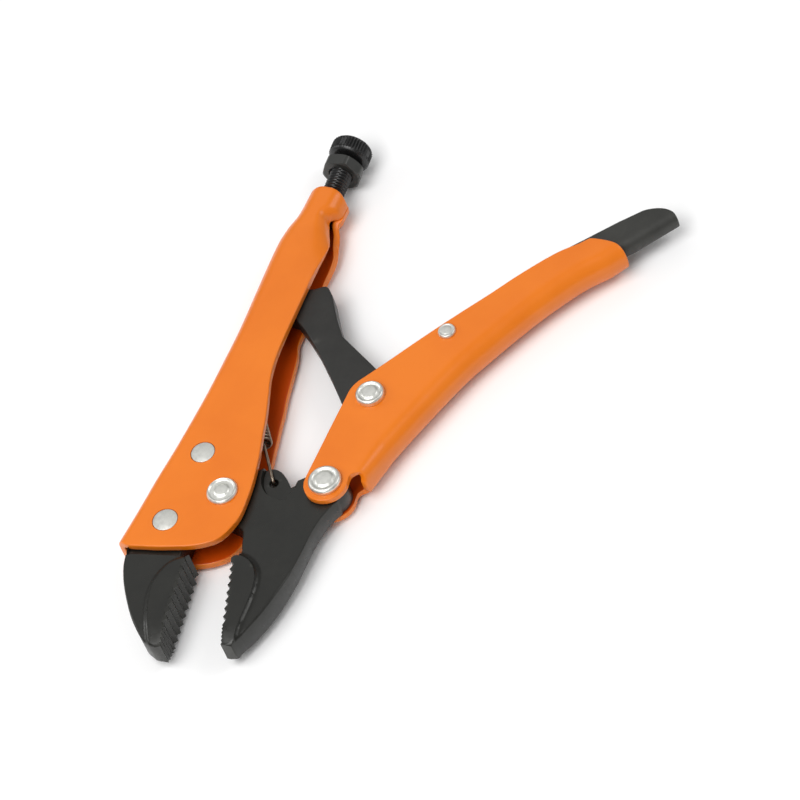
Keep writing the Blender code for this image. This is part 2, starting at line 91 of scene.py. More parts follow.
# ---- driving dimensions ----
MAIN_SHEET, LOWER_SHEET, LEVER_SHEET = 1.6, 1.4, 1.1
COLLAR_INSET = 0.13
FIXED_BODY_HALF, SHANK_HALF = 3.6, 2.4
MOVING_NOSE_HALF, MOVING_BODY_HALF, EAR_HALF = 2.9, 2.3, 1.2
TOOTH_DEPTH = 0.72
FRONT_HOLE, REAR_HOLE, JAW_HOLE, HANDLE_HOLE, LINK_HOLE, RELEASE_HOLE = 2.79, 2.69, 2.5, 2.4, 2.2, 1.4
EAR_HOLE, TAB_HOLE = 0.95, 0.75
RIVET_PLAY = 0.2

SPRING_EAR = Vector((6.4, -8.3))
SPRING_TAB = Vector((33.3, 11.1))
LINK_NOSE = (51.6, 10.3)
SCREW_TILT = math.radians(3.6)
SCREW_POINT = (85.8, 12.2)
SCREW_TIP, COLLAR_END, NUT_FACE, NUT_BACK, HEAD_FACE, HEAD_END = 63.2, 84.0, 88.85, 91.75, 93.3, 97.2
THREAD_PITCH, THREAD_ROOT, THREAD_INSIDE, THREAD_OUTSIDE = 0.8, 2.05, 2.3, 2.5
HEAD_R, NUT_ACROSS_FLATS = 4.65, 8.3

# ---- outlines of the main handle, the lower handle and the release lever ----
# At each x: the spine's y, the near wall's open edge, how far the far wall's edge hangs below it, how far
# each edge leans in to the mid-plane, and the fold's radius. TAIL and MOUTH are the two ends' x at each y.
SPINE = [
    (-16.4, 17.5), (-8.8, 17.0), (1.2, 16.5), (8, 16.0), (16, 15.6), (24, 15.4), (32, 15.5), (41, 15.8),
    (52, 16.7), (62, 17.5), (67, 17.7), (70.5, 17.4), (74, 16.6), (78, 16.4), (83, 16.6)]
BELLY = [
    (-9, -5.3), (-5.5, -6.2), (0.5, -5.9), (5.5, -5.1), (10.5, -3.9), (15.5, -2.4), (20.5, -1.0),
    (25.5, 0.7), (30.5, 2.4), (35.5, 3.4), (41, 3.9), (50, 4.3), (60, 4.7), (66, 4.9), (67.6, 5.2),
    (69.2, 6.0), (71, 7.0), (73.5, 8.2), (75.4, 8.9), (76.2, 8.4), (77, 7.3), (78, 7.0), (83, 7.2)]
FAR_BELLY_DROP = [
    (7, 0.0), (13.7, 0.55), (21.3, 0.95), (27.4, 1.7), (34.4, 1.95), (40, 1.35), (41.8, 0.95), (43.8, 0.2),
    (48, 0.0), (60, 0.0), (64, 0.25), (67.5, 0.65), (70, 1.3), (72, 1.75), (75.4, 1.6), (77, 0.4),
    (78.5, 0.0)]
NEAR_LIP = [
    (0, 0.0), (57, 0.0), (61, 0.5), (66, 1.5), (69.2, 2.7), (72, 3.2), (75.6, 3.67), (76.6, 4.08),
    (84, 4.1)]
FAR_LIP = [
    (0, 0.0), (57, 0.0), (61, 0.5), (66, 1.2), (70, 2.2), (73.5, 3.0), (75, 3.3), (76.6, 4.0), (84, 4.1)]
MAIN_CORNER = [(-17, 2.4), (30, 2.6), (50, 3.4), (70, 4.12), (84, 4.12)]
TAIL = [
    (6.5, 80.2), (8.2, 81.7), (9.6, 82.1), (11.1, 82.3), (12.7, 82.3), (14.2, 82.1), (15.4, 81.7),
    (16.8, 81.0)]
MOUTH = [
    (-5.3, -9.0), (-4.4, -10.8), (-2.0, -12.8), (0.8, -14.1), (5.5, -15.4), (8.5, -16.1), (11.5, -16.6),
    (14.3, -17.0), (17.5, -16.4)]
# A curved channel is pairs of points, one on the spine and one across from it on the open edge, and an end
# line that runs from the spine to the open edge.
LOWER_PAIRS = [
    ((12.3, -28.1), (12.8, -15.85)), ((19.3, -30.2), (20.5, -15.9)), ((25.6, -32.15), (27.5, -15.98)),
    ((28.6, -33.13), (31.0, -16.05)), ((30.4, -33.73), (33.2, -16.8)), ((32.2, -34.33), (35.07, -18.05)),
    ((34.5, -35.1), (38.6, -20.45)), ((42.6, -38.1), (47.0, -26.0)), ((49.6, -41.5), (54.2, -31.0)),
    ((56.0, -44.8), (60.8, -35.8)), ((63.0, -48.8), (67.8, -40.7)), ((70.0, -53.6), (74.4, -46.0)),
    ((74.9, -58.2), (78.1, -50.2))]
LOWER_END = [
    (78.3, -60.65), (79.0, -59.7), (79.6, -58.4), (79.95, -56.6), (80.05, -54.3), (80.0, -53.0),
    (79.8, -51.9)]
LEVER_PAIRS = [
    ((37.0, -32.2), (37.6, -29.0)), ((41.0, -33.4), (41.8, -28.6)), ((46.0, -35.6), (47.6, -28.9)),
    ((50.5, -38.2), (53.6, -32.6)), ((57.0, -42.3), (60.4, -36.4)), ((64.0, -46.6), (67.8, -40.2)),
    ((70.5, -50.8), (74.6, -44.7)), ((77.0, -56.4), (81.4, -50.9)), ((82.0, -61.1), (86.6, -55.7))]
LEVER_END = [
    (90.4, -67.75), (91.3, -66.7), (91.8, -65.5), (92.0, -64.2), (91.8, -62.7), (91.2, -61.0),
    (90.5, -59.8)]

# ---- outlines of the jaws and the link ----
FIXED_BACK = [
    (-18.7, 14.4), (-21.5, 13.6), (-25.0, 11.9), (-29.0, 9.3), (-33.0, 6.2), (-36.0, 3.2), (-37.4, 1.4),
    (-38.0, -0.2)]
FIXED_PAD_LINE = [
    (-16.6, 0.2), (-17.2, 1.2), (-18.7, 3.3), (-21.2, 4.5), (-24.3, 5.0), (-26.7, 4.7), (-29.4, 3.9),
    (-33.0, 2.3), (-36.0, 0.8), (-38.6, -0.4)]
FIXED_SHOULDER = [(-16.3, 1.4), (-17.0, 5.5), (-17.8, 10.0), (-18.7, 14.4)]
MOVING_BACK = [
    (-33.9, -17.0), (-32.1, -17.75), (-28.6, -19.1), (-24.6, -20.3), (-20.1, -21.2), (-15.4, -21.8),
    (-9.0, -22.0), (-3.4, -22.1), (0.0, -22.6), (2.6, -23.4), (4.3, -24.2)]
MOVING_PAD_LINE = [
    (-13.9, -8.6), (-13.7, -10.5), (-14.6, -12.9), (-16.3, -14.6), (-18.2, -15.5), (-20.4, -16.1),
    (-24.0, -16.5), (-29.0, -16.7), (-32.4, -17.1), (-34.0, -17.4)]
MOVING_BAND_LINE = [
    (-12.0, -8.8), (-12.3, -11.1), (-13.2, -13.1), (-14.9, -15.1), (-17.1, -16.4), (-19.5, -17.2),
    (-22.5, -17.7), (-27.5, -17.9), (-31.0, -17.9), (-34.0, -18.1)]
MOVING_FLANK = [(11.3, -19.0), (8.5, -14.8), (6.2, -12.4)]
MOVING_EAR = [(6.2, -12.4), (8.3, -10.3), (9.6, -8.3), (9.8, -6.7), (8.9, -5.0), (6.9, -3.4)]
LINK_LEFT = [(28.3, -14.8), (34.5, -9.3), (40.7, -3.4), (44.8, 1.2), (47.6, 4.9), (48.1, 8.4)]
LINK_RIGHT = [
    (55.3, 8.0), (55.9, 4.2), (57.2, 1.5), (55.2, -0.8), (49.1, -4.7), (45.2, -7.6), (38.5, -18.5)]


# ---- camera, floor and light ----
CAMERA_PLACE = Vector((-346.1, -338.6, 572.7))
CAMERA_RIGHT, CAMERA_FORWARD = Vector((0.3783, -0.8940, -0.2400)), Vector((0.5051, 0.4166, -0.7559))
FLOOR_GAP = 0.1
LIGHT_AIM = Vector((0.03, -0.02, 0))
LIGHTS = [  # name, place and size in metres, power in watts
    ("key", (-0.30, 0.10, 0.90), (0.6, 0.6), 4.9),
    ("fold", (0.46, -0.52, 0.58), (0.42, 0.42), 1.5),
    ("spine", (-0.10, 0.80, 0.42), (0.4, 0.3), 1.3),
    ("fill", (-0.55, -0.05, 0.60), (0.5, 0.5), 2.0),
    ("sheen", (0.57, 0.45, 0.85), (0.8, 0.8), 0.9),
]


def add_object(name, data):
    ob = bpy.data.objects.new(name, data)
    bpy.context.collection.objects.link(ob)
    return ob


def add_mesh(name, bm):
    mesh = bpy.data.meshes.new(name)
    bm.to_mesh(mesh)
    bm.free()
    return add_object(name, mesh)


def make_camera():
    cam = bpy.data.cameras.new("camera")
    cam.lens = 162.0
    cam.sensor_width = 36.0
    cam.clip_start = 0.01
    ob = add_object("camera", cam)
    forward = CAMERA_FORWARD.normalized()
    up = CAMERA_RIGHT.normalized().cross(forward).normalized()
    right = forward.cross(up).normalized()
    turn = Matrix((right, up, -forward)).transposed().to_4x4()
    ob.matrix_world = Matrix.Translation(CAMERA_PLACE * MM) @ turn
    bpy.context.scene.camera = ob


def area_light(name, place, size, power):
    light = bpy.data.lights.new(name, "AREA")
    light.shape = "RECTANGLE"
    light.size, light.size_y = size
    light.energy = power
    ob = add_object(name, light)
    ob.location = place
    ob.rotation_euler = (LIGHT_AIM - Vector(place)).to_track_quat("-Z", "Y").to_euler()


def make_floor():
    bm = bmesh.new()
    bmesh.ops.create_grid(bm, x_segments=2, y_segments=2, size=2.0)
    bmesh.ops.translate(bm, verts=bm.verts, vec=(0, 0, -FLOOR_GAP * MM))
    ob = add_mesh("floor", bm)
    mat = bpy.data.materials.new("floor")
    mat.use_nodes = True
    shader = mat.node_tree.nodes["Principled BSDF"]
    shader.inputs["Base Color"].default_value = (0.98, 0.98, 0.98, 1)
    shader.inputs["Roughness"].default_value = 0.9
    shader.inputs["Specular IOR Level"].default_value = 0.1
    ob.data.materials.append(mat)


def make_world():
    world = bpy.data.worlds.new("studio")
    bpy.context.scene.world = world
    world.use_nodes = True
    back = world.node_tree.nodes["Background"]
    back.inputs["Color"].default_value = (1, 1, 1, 1)
    back.inputs["Strength"].default_value = 0.28


# ---- materials ----
class Paint:
    """A procedural material built up node by node round one Principled shader."""

    def __init__(self, name):
        self.mat = bpy.data.materials.new(name)
        self.mat.use_nodes = True
        self.nodes = self.mat.node_tree.nodes
        self.shader = self.nodes["Principled BSDF"]
        self.place = self.add("ShaderNodeTexCoord").outputs["Object"]

    def add(self, kind, links=None, **values):
        node = self.nodes.new(kind)
        for key, value in values.items():
            setattr(node, key, value)
        for key, value in (links or {}).items():
            self.join(value, node.inputs[key])
        return node

    def join(self, value, socket):
        if isinstance(value, bpy.types.NodeSocket):
            self.mat.node_tree.links.new(value, socket)
        else:
            socket.default_value = value

    def set(self, **values):
        for key, value in values.items():
            self.join(value, self.shader.inputs[key.replace("_", " ")])

    def noise(self, scale, detail=3.0, roughness=0.55):
        return self.add("ShaderNodeTexNoise", {"Vector": self.place, "Scale": scale, "Detail": detail,
                                               "Roughness": roughness}).outputs["Fac"]

    def ramp(self, value, low, high, start=0.0, end=1.0):
        """Map value from low..high to start..end."""
        return self.add("ShaderNodeMapRange", {"Value": value, "From Min": low, "From Max": high,
                                               "To Min": start, "To Max": end}).outputs["Result"]

    def mix(self, factor, first, second):
        node = self.add("ShaderNodeMix", data_type="RGBA")
        for socket, value in (("Factor", factor), (6, first), (7, second)):
            self.join(value, node.inputs[socket])
        return node.outputs[2]

    def edges(self, low, high):
        """0 to 1 from flat faces to sharp outer edges."""
        return self.ramp(self.add("ShaderNodeNewGeometry").outputs["Pointiness"], low, high)

    def bump(self, layers):
        """Stack bump layers, each (height, strength, distance in mm)."""
        normal = None
        for height, strength, distance in layers:
            links = {"Height": height, "Strength": strength, "Distance": distance * MM}
            if normal:
                links["Normal"] = normal
            normal = self.add("ShaderNodeBump", links).outputs["Normal"]
        self.join(normal, self.shader.inputs["Normal"])


def rgb(*colour):
    return (*colour, 1.0)


def orange_enamel():
    """Glossy enamel: uneven colour, orange peel, a painted highlight on sharp edges and painted deep red
    shade in the folds.
    """
    paint = Paint("orange_enamel")
    patches = paint.noise(45.0, 4.0, 0.6)
    body = paint.mix(paint.ramp(patches, 0.35, 0.65), rgb(0.75, 0.168, 0.003), rgb(0.80, 0.192, 0.006))
    # sharp edges mixed to a lighter orange: a painted highlight
    edge_highlight = paint.mix(paint.edges(0.53, 0.64), body, rgb(0.82, 0.20, 0.012))
    inner = paint.add("ShaderNodeAttribute", attribute_name="inside_face").outputs["Fac"]
    # the inner faces of the sheet mixed towards deep red: painted shade inside the folds
    ear_thinning_and_inner_shade = paint.mix(paint.ramp(inner, 0, 1, 0, 0.85), edge_highlight, rgb(0.50, 0.042, 0.0))
    paint.set(Base_Color=ear_thinning_and_inner_shade, Roughness=paint.ramp(paint.noise(220.0, 4.0), 0.3, 0.7, 0.30, 0.40))
    paint.set(Coat_Weight=0.2, Coat_Roughness=0.16, Specular_IOR_Level=0.4)
    paint.bump([(paint.noise(420.0, 3.0), 0.10, 0.05), (paint.noise(1500.0, 2.0), 0.06, 0.02)])
    return paint.mat


def black_oxide(name, base, roughness, grain_depth, wear_and_highlight_gain=3.0):
    """Black finish on steel: fine grain, cloudy tone, and sharp edges lighter than the base, partly edge wear
    and partly a painted highlight.
    """
    paint = Paint(name)
    clouds = paint.ramp(paint.noise(160.0, 5.0, 0.62), 0.3, 0.7)
    dark, light = rgb(*(0.82 * c for c in base)), rgb(*(1.25 * c for c in base))
    body = paint.mix(clouds, dark, light)
    # sharp edges lightened by the last argument's factor: partly edge wear, partly a painted highlight
    edge_wear_and_highlight = paint.mix(paint.edges(0.53, 0.70), body, rgb(*(wear_and_highlight_gain * c for c in base)))
    paint.set(Base_Color=edge_wear_and_highlight, Metallic=0.3, Specular_IOR_Level=0.7)
    paint.set(Roughness=paint.ramp(paint.noise(700.0, 4.0), 0.3, 0.7, roughness - 0.06, roughness + 0.08))
    paint.bump([(paint.noise(2400.0, 3.0), 0.22, grain_depth),
                (paint.noise(380.0, 4.0), 0.12, 2 * grain_depth)])
    return paint.mat


def bright_nickel():
    """Plated rivet heads: pale metal with turned rings, small dents and scratches."""
    paint = Paint("bright_nickel")
    rings = paint.add("ShaderNodeTexWave", {"Vector": paint.place, "Scale": 900.0, "Distortion": 3.0,
                                            "Detail": 2.0, "Detail Scale": 1.4},
                      wave_type="RINGS", rings_direction="Z").outputs["Fac"]
    dents = paint.noise(900.0, 5.0, 0.7)
    tone = paint.mix(paint.ramp(dents, 0.3, 0.7), rgb(0.76, 0.76, 0.71), rgb(0.92, 0.92, 0.87))
    paint.set(Base_Color=tone, Metallic=1.0, Roughness=paint.ramp(dents, 0.3, 0.7, 0.34, 0.50))
    paint.bump([(rings, 0.10, 0.02), (dents, 0.35, 0.05)])
    return paint.mat


def spring_steel():
    """Drawn wire, brownish grey with oil, its drawing lines along the coil."""
    paint = Paint("spring_steel")
    clouds = paint.noise(500.0, 4.0, 0.65)
    tone = paint.mix(paint.ramp(clouds, 0.3, 0.7), rgb(0.20, 0.155, 0.11), rgb(0.40, 0.34, 0.27))
    paint.set(Base_Color=tone, Metallic=1.0, Roughness=paint.ramp(clouds, 0.3, 0.7, 0.28, 0.42))
    paint.bump([(paint.noise(4000.0, 2.0), 0.15, 0.01)])
    return paint.mat


# ---- mesh helpers ----
def make_object(name, bm, pivot=(0.0, 0.0)):
    """Turn a bmesh in millimetres into an object whose origin is at its pivot, at mid-thickness."""
    origin = Vector((pivot[0], pivot[1], 0.0))
    bmesh.ops.translate(bm, verts=bm.verts, vec=-origin)
    bmesh.ops.scale(bm, verts=bm.verts, vec=(MM, MM, MM))
    bmesh.ops.recalc_face_normals(bm, faces=bm.faces)
    if bm.calc_volume(signed=True) < 0:
        bmesh.ops.reverse_faces(bm, faces=bm.faces)
    ob = add_mesh(name, bm)
    ob.location = (origin + Vector((0.0, 0.0, MID))) * MM
    return ob


def combine(ob, tools, operation):
    for tool in tools:
        mod = ob.modifiers.new(tool.name, "BOOLEAN")
        mod.operation = operation
        mod.solver = "EXACT"
        mod.object = tool


def settle(ob, angle, tools=()):
    """Apply the modifiers of ob, drop its tools, and shade it smooth but for creases over angle degrees."""
    bpy.context.view_layer.update()
    graph = bpy.context.evaluated_depsgraph_get()
    mesh = bpy.data.meshes.new_from_object(ob.evaluated_get(graph))
    ob.modifiers.clear()
    ob.data = mesh
    for tool in tools:
        bpy.data.objects.remove(tool, do_unlink=True)
    mesh.shade_smooth()
    mesh.set_sharp_from_angle(angle=math.radians(angle))


def unit(value):
    """A number clipped to 0..1."""
    return min(1.0, max(0.0, value))


def arc(centre, radius, start, end, count):
    """Points on a circular arc, angles in degrees."""
    angles = [math.radians(start + (end - start) * i / count) for i in range(count + 1)]
    return [(centre[0] + radius * math.cos(a), centre[1] + radius * math.sin(a)) for a in angles]


def curve_through(points):
    """A smooth function through points with rising first coordinates (cubic Hermite segments)."""
    xs = [p[0] for p in points]
    ys = [p[1] for p in points]
    steps = [(ys[i + 1] - ys[i]) / (xs[i + 1] - xs[i]) for i in range(len(xs) - 1)]
    slopes = [steps[0]] + [(a + b) / 2 for a, b in zip(steps, steps[1:])] + [steps[-1]]

    def value(x):
        if x <= xs[0]:
            return ys[0]
        if x >= xs[-1]:
            return ys[-1]
        i = max(k for k in range(len(xs) - 1) if xs[k] <= x)
        h = xs[i + 1] - xs[i]
        t = (x - xs[i]) / h
        return ((2 * t**3 - 3 * t**2 + 1) * ys[i] + (t**3 - 2 * t**2 + t) * h * slopes[i]
                + (3 * t**2 - 2 * t**3) * ys[i + 1] + (t**3 - t**2) * h * slopes[i + 1])

    return value


def path_through(points):
    """A smooth curve in the plane through points, as a function of 0..1 along their chords."""
    lengths = [0.0]
    for a, b in zip(points, points[1:]):
        lengths.append(lengths[-1] + math.dist(a, b))
    xs = curve_through([(s / lengths[-1], p[0]) for s, p in zip(lengths, points)])
    ys = curve_through([(s / lengths[-1], p[1]) for s, p in zip(lengths, points)])
    return lambda t: Vector((xs(t), ys(t)))


def smooth_run(points, step=0.35):
    """Dense points on a smooth curve through points."""
    path = path_through(points)
    length = sum(math.dist(a, b) for a, b in zip(points, points[1:]))
    count = max(2, round(length / step))
    return [tuple(path(i / count)) for i in range(count + 1)]


def straight_run(points, step=0.35):
    """Dense points on the straight lines between points."""
    run = [tuple(points[0])]
    for a, b in zip(points, points[1:]):
        count = max(1, round(math.dist(a, b) / step))
        run += [tuple(Vector(a).lerp(Vector(b), i / count)) for i in range(1, count + 1)]
    return run


def turned(profile, segments, radius_at=None):
    """A body turned about Z. The profile is (radius, height) pairs that start and end on the axis.

    radius_at(radius, height, angle) may change the radius round the turn, for threads and knurls.
    """
    bm = bmesh.new()
    rings = []
    for radius, height in profile:
        count = 1 if radius == 0 else segments
        ring = []
        for k in range(count):
            a = 2 * math.pi * k / segments
            r = radius_at(radius, height, a) if radius_at and radius else radius
            ring.append(bm.verts.new((r * math.cos(a), r * math.sin(a), height)))
        rings.append(ring)
    for lower, upper in zip(rings, rings[1:]):
        for k in range(segments):
            corners = [lower[k % len(lower)], lower[(k + 1) % len(lower)],
                       upper[(k + 1) % len(upper)], upper[k % len(upper)]]
            bm.faces.new(list(dict.fromkeys(corners)))
    return bm


def join_rings(bm, rings):
    for a, b in zip(rings, rings[1:]):
        for k in range(len(a)):
            after = (k + 1) % len(a)
            bm.faces.new((a[k], a[after], b[after], b[k]))


def drill(centre, radius, half=7.0):
    """A round cutter along Z."""
    bm = turned([(0, -half), (radius, -half), (radius, half), (0, half)], 56)
    bmesh.ops.translate(bm, verts=bm.verts, vec=(centre[0], centre[1], 0))
    return make_object("drill", bm)


def prism(outline, low, high):
    """An outline in XY extruded between two heights."""
    bm = bmesh.new()
    bottom = bm.faces.new([bm.verts.new((x, y, low)) for x, y in outline])
    top = bmesh.ops.extrude_face_region(bm, geom=[bottom])
    raised = [v for v in top["geom"] if isinstance(v, bmesh.types.BMVert)]
    bmesh.ops.translate(bm, verts=raised, vec=(0.0, 0.0, high - low))
    return bm


def bore(ob, holes, tools=()):
    """Drill holes through a sheet, each (centre, radius) with the cutter's half length if it is short."""
    drills = [drill(*hole) for hole in holes]
    combine(ob, drills, "DIFFERENCE")
    settle(ob, 40, [*tools, *drills])
    return ob


# ---- folded sheet ----
WALL_STEPS, CORNER_STEPS, RIM_STEPS = 22, 9, 3
CURL_SHARE, STRAIGHT_LIP, LIP_RANGE = 0.7, 1.6, 1.3
MAIN_RIM, LOWER_RIM, LEVER_RIM = 0.28, 0.22, 0.2
SHARP_RIM_SHARE = 0.04


def channel_side(depth, half, corner, lip):
    """One wall of a folded channel, from its open edge over half the spine, as (z, distance from the spine).

    A lip under STRAIGHT_LIP leans in like a leaf, and a longer one closes in a round.
    """
    curl = CURL_SHARE * (depth - corner)
    roundness = unit((lip - STRAIGHT_LIP) / LIP_RANGE)
    side = []
    for i in range(WALL_STEPS + 1):
        t = i / WALL_STEPS
        leaning = (half - lip * (1 - t) ** 2, depth - curl * t)
        angle = t * math.pi / 2
        rounded = (half - lip * (1 - math.sin(angle)), depth - curl * (1 - math.cos(angle)))
        flat = (half, depth - (depth - corner) * t)
        bent = [a + (b - a) * roundness for a, b in zip(leaning, rounded)]
        side.append(tuple(bent) if lip > 0 else flat)
    for i in range(CORNER_STEPS + 1):
        angle = math.pi / 2 * i / CORNER_STEPS
        side.append((half - corner * (1 - math.cos(angle)), corner * (1 - math.sin(angle))))
    return side


def channel_section(near, far, half, corner, sheet):
    """A folded channel's outer and inner outlines as (z, distance from the spine).

    near and far are the depth of each wall and how far its open edge leans to the mid-plane.
    """
    corner = min(corner, half - 0.15)
    sides = [channel_side(depth, half, corner, min(lip, half - 0.02)) for depth, lip in (near, far)]
    outer = sides[0] + [(-z, d) for z, d in reversed(sides[1])]
    inner = []
    for i, (z, d) in enumerate(outer):
        before, after = outer[max(i - 1, 0)], outer[min(i + 1, len(outer) - 1)]
        tangent = Vector((after[0] - before[0], after[1] - before[1])).normalized()
        inner_z = max(0.01, abs(z) - abs(tangent.y) * sheet)
        inner.append((math.copysign(inner_z, z), d - tangent.x * sheet))
    return outer, inner


def sheet_object(name, outer, inner, pivot, round_edge, share=lambda i, k: 1.0):
    """A closed sheet between two grids of points, its rim rounded. share scales the rounding at a rim point.

    The inside_face attribute is 1 on the inner grid, where the material paints shade.
    """
    bm = bmesh.new()
    inside_face = bm.verts.layers.float.new("inside_face")
    rows, cols = len(outer), len(outer[0])
    rim = ([(0, k) for k in range(cols)] + [(i, cols - 1) for i in range(1, rows)]
           + [(rows - 1, k) for k in range(cols - 2, -1, -1)] + [(i, 0) for i in range(rows - 2, 0, -1)])
    outer = [[Vector(p) for p in row] for row in outer]
    inner = [[Vector(p) for p in row] for row in inner]
    strips = {}
    for i, k in rim:
        inward = (min(max(i, 1), rows - 2), min(max(k, 1), cols - 2))
        top, low = outer[i][k], inner[i][k]
        out_of_sheet = (top - outer[inward[0]][inward[1]]).normalized()
        down = (low - top).normalized()
        radius = round_edge * share(i, k)
        strip = []
        for centre, first, turn in ((top - radius * out_of_sheet + radius * down, -down, out_of_sheet),
                                    (low - radius * out_of_sheet - radius * down, out_of_sheet, down)):
            for step in range(RIM_STEPS + 1):
                a = math.pi / 2 * step / RIM_STEPS
                strip.append(centre + radius * (math.cos(a) * first + math.sin(a) * turn))
        strips[i, k] = strip
    for (i, k), strip in strips.items():
        outer[i][k], inner[i][k] = strip[0], strip[-1]
    grids = [[[bm.verts.new(p) for p in row] for row in grid] for grid in (outer, inner)]
    for row in grids[1]:
        for vert in row:
            vert[inside_face] = 1.0
    for grid in grids:
        for a, b in zip(grid, grid[1:]):
            for k in range(cols - 1):
                bm.faces.new((a[k], a[k + 1], b[k + 1], b[k]))
    bands = []
    for i, k in rim:
        bands.append([grids[0][i][k]] + [bm.verts.new(p) for p in strips[i, k][1:-1]] + [grids[1][i][k]])
    for a, b in zip(bands, bands[1:] + bands[:1]):
        for k in range(len(a) - 1):
            bm.faces.new((a[k], b[k], b[k + 1], a[k + 1]))
    return make_object(name, bm, pivot)


def main_handle():
    """The channel's walls run from the spine to the belly, and close round the screw at the tail."""
    spine, belly, mouth = curve_through(SPINE), curve_through(BELLY), curve_through(MOUTH)
    corner, drop, tail = curve_through(MAIN_CORNER), curve_through(FAR_BELLY_DROP), curve_through(TAIL)
    near_lip, far_lip = curve_through(NEAR_LIP), curve_through(FAR_LIP)
    mouth_x, mouth_slant, collar_x, seam_x = -9, 8.0, 67, 76.0
    slack = curve_through([(mouth_x, 1.0), (0, 0.42), (10, 0.0)])
    # rows lie closer at the mouth and at the tail, where the outline bends most
    stations = [mouth_x + 0.6 * i for i in range(30)] + list(range(10, 61))
    stations += [60 + 0.6 * i for i in range(1, 31)]
    tail_steps = 5
    outer, inner = [], []
    for i, x in enumerate(stations + [stations[-1]] * tail_steps):
        top, low = spine(x - mouth_slant * slack(x)), belly(x)
        half = MAIN_HALF - COLLAR_INSET * unit((x - collar_x) / 4)
        near, far = (top - low, near_lip(x)), (top - low + drop(x), far_lip(x))
        toward_tail = max(0, i - len(stations) + 1) / tail_steps
        rows = []
        for outline in channel_section(near, far, half, corner(x), MAIN_SHEET):
            row = []
            for z, d in outline:
                y = top - d
                along = x + (mouth(y) - mouth_x) * slack(x)
                row.append((along + (tail(y) - along) * toward_tail, y, z))
            rows.append(row)
        outer.append(rows[0])
        inner.append(rows[1])
    seam = sum(1 for x in stations if x < seam_x)
    cols = len(outer[0])
    ob = sheet_object("main_handle_fine", outer, inner, JAW_PIVOT, MAIN_RIM,
                      lambda i, k: SHARP_RIM_SHARE if i > seam and k in (0, cols - 1) else 1.0)
    tab_radius, tab_top, tab_half = 1.5, 14.6, 0.6
    tab_outline = [(SPRING_TAB.x + tab_radius, tab_top), (SPRING_TAB.x - tab_radius, tab_top)]
    tab_outline += arc(SPRING_TAB, tab_radius, 180, 360, 14)
    tab = make_object("tab", prism(tab_outline, -tab_half, tab_half))
    combine(ob, [tab], "UNION")
    return bore(ob, [(SPRING_TAB, TAB_HOLE, 1.5), (FIXED_FRONT, FRONT_HOLE), (FIXED_REAR, REAR_HOLE),
                     (JAW_PIVOT, JAW_HOLE)], [tab])


def rows_along(point_at, depth, half, corner, sheet):
    """The outer and inner rows of a channel section. point_at gives the place at each depth."""
    rows = []
    for outline in channel_section((depth, 0.0), (depth, 0.0), half, corner, sheet):
        points = [point_at(d) for z, d in outline]
        rows.append([(p.x, p.y, z) for p, (z, d) in zip(points, outline)])
    return rows


def paired_rows(pairs, t, half, corner, sheet):
    """The outer and inner rows of the channel section at t, counted in pairs of (spine, open edge) points."""
    paths = []
    for side in (0, 1):
        xs = curve_through([(i, pair[side][0]) for i, pair in enumerate(pairs)])
        ys = curve_through([(i, pair[side][1]) for i, pair in enumerate(pairs)])
        paths.append(Vector((xs(t), ys(t))))
    back, edge = paths
    depth = (edge - back).length
    across = (edge - back) / depth
    return rows_along(lambda d: back + across * d, depth, half, corner, sheet)


def blended(rows_a, rows_b, t):
    """Rows a share t of the way from rows_a to rows_b."""
    return [[tuple(Vector(a).lerp(Vector(b), t)) for a, b in zip(row_a, row_b)]
            for row_a, row_b in zip(rows_a, rows_b)]


def end_rows(half, corner, sheet, end_line):
    """The last rows of a channel: its section laid along a line in the XY plane that rounds its end."""
    path = path_through(end_line)
    depth = (Vector(end_line[-1]) - Vector(end_line[0])).length
    return rows_along(lambda d: path(unit(d / depth)), depth, half, corner, sheet)


def channel_grids(pairs, half, corner, sheet, end_line, end_steps, front=None):
    """Outer and inner grids of a channel, from its front rows (if given) to its rounded end."""
    front_steps, station_step = 12, 0.06
    last, begin = len(pairs) - 1, 0.0
    stations = []
    if front:
        begin = 1.0
        first = paired_rows(pairs, begin, half, corner(begin), sheet)
        stations += [blended(front, first, i / front_steps) for i in range(front_steps)]
    count = round((last - begin) / station_step)
    for i in range(count + 1):
        t = begin + (last - begin) * i / count
        stations.append(paired_rows(pairs, t, half, corner(t), sheet))
    end = end_rows(half, corner(last), sheet, end_line)
    closing = stations[-1]
    stations += [blended(closing, end, i / end_steps) for i in range(1, end_steps + 1)]
    return [rows[0] for rows in stations], [rows[1] for rows in stations]


def lower_front_rows():
    """The front of the lower handle: each wall ends in a round ear, and the fold starts behind a notch."""
    ear_radius, fold_x, spine_y, fold_radius = 4.7, 10.9, -28.0, 2.5
    fold_edge = curve_through([(0, fold_x), (0.4, 11.6), (0.7, 11.3), (1, 10.7)])
    ear_steps = 17
    wall = arc(HANDLE_PIVOT, ear_radius, 92, 284, ear_steps)
    notch = path_through([wall[-1], (9.3, -25.05), (10.2, -25.1), (fold_x, spine_y + fold_radius)])
    notch_steps = WALL_STEPS - ear_steps
    wall += [tuple(notch(i / notch_steps)) for i in range(1, notch_steps + 1)]
    rows = []
    for inset in (0.0, LOWER_SHEET):
        row = [(x, y, LOWER_HALF - inset) for x, y in wall]
        radius = fold_radius - inset
        for i in range(CORNER_STEPS + 1):
            a = math.pi / 2 * i / CORNER_STEPS
            row.append((fold_edge(i / CORNER_STEPS), spine_y + fold_radius - radius * math.sin(a),
                        LOWER_HALF - fold_radius + radius * math.cos(a)))
        rows.append(row + [(x, y, -z) for x, y, z in reversed(row)])
    return rows


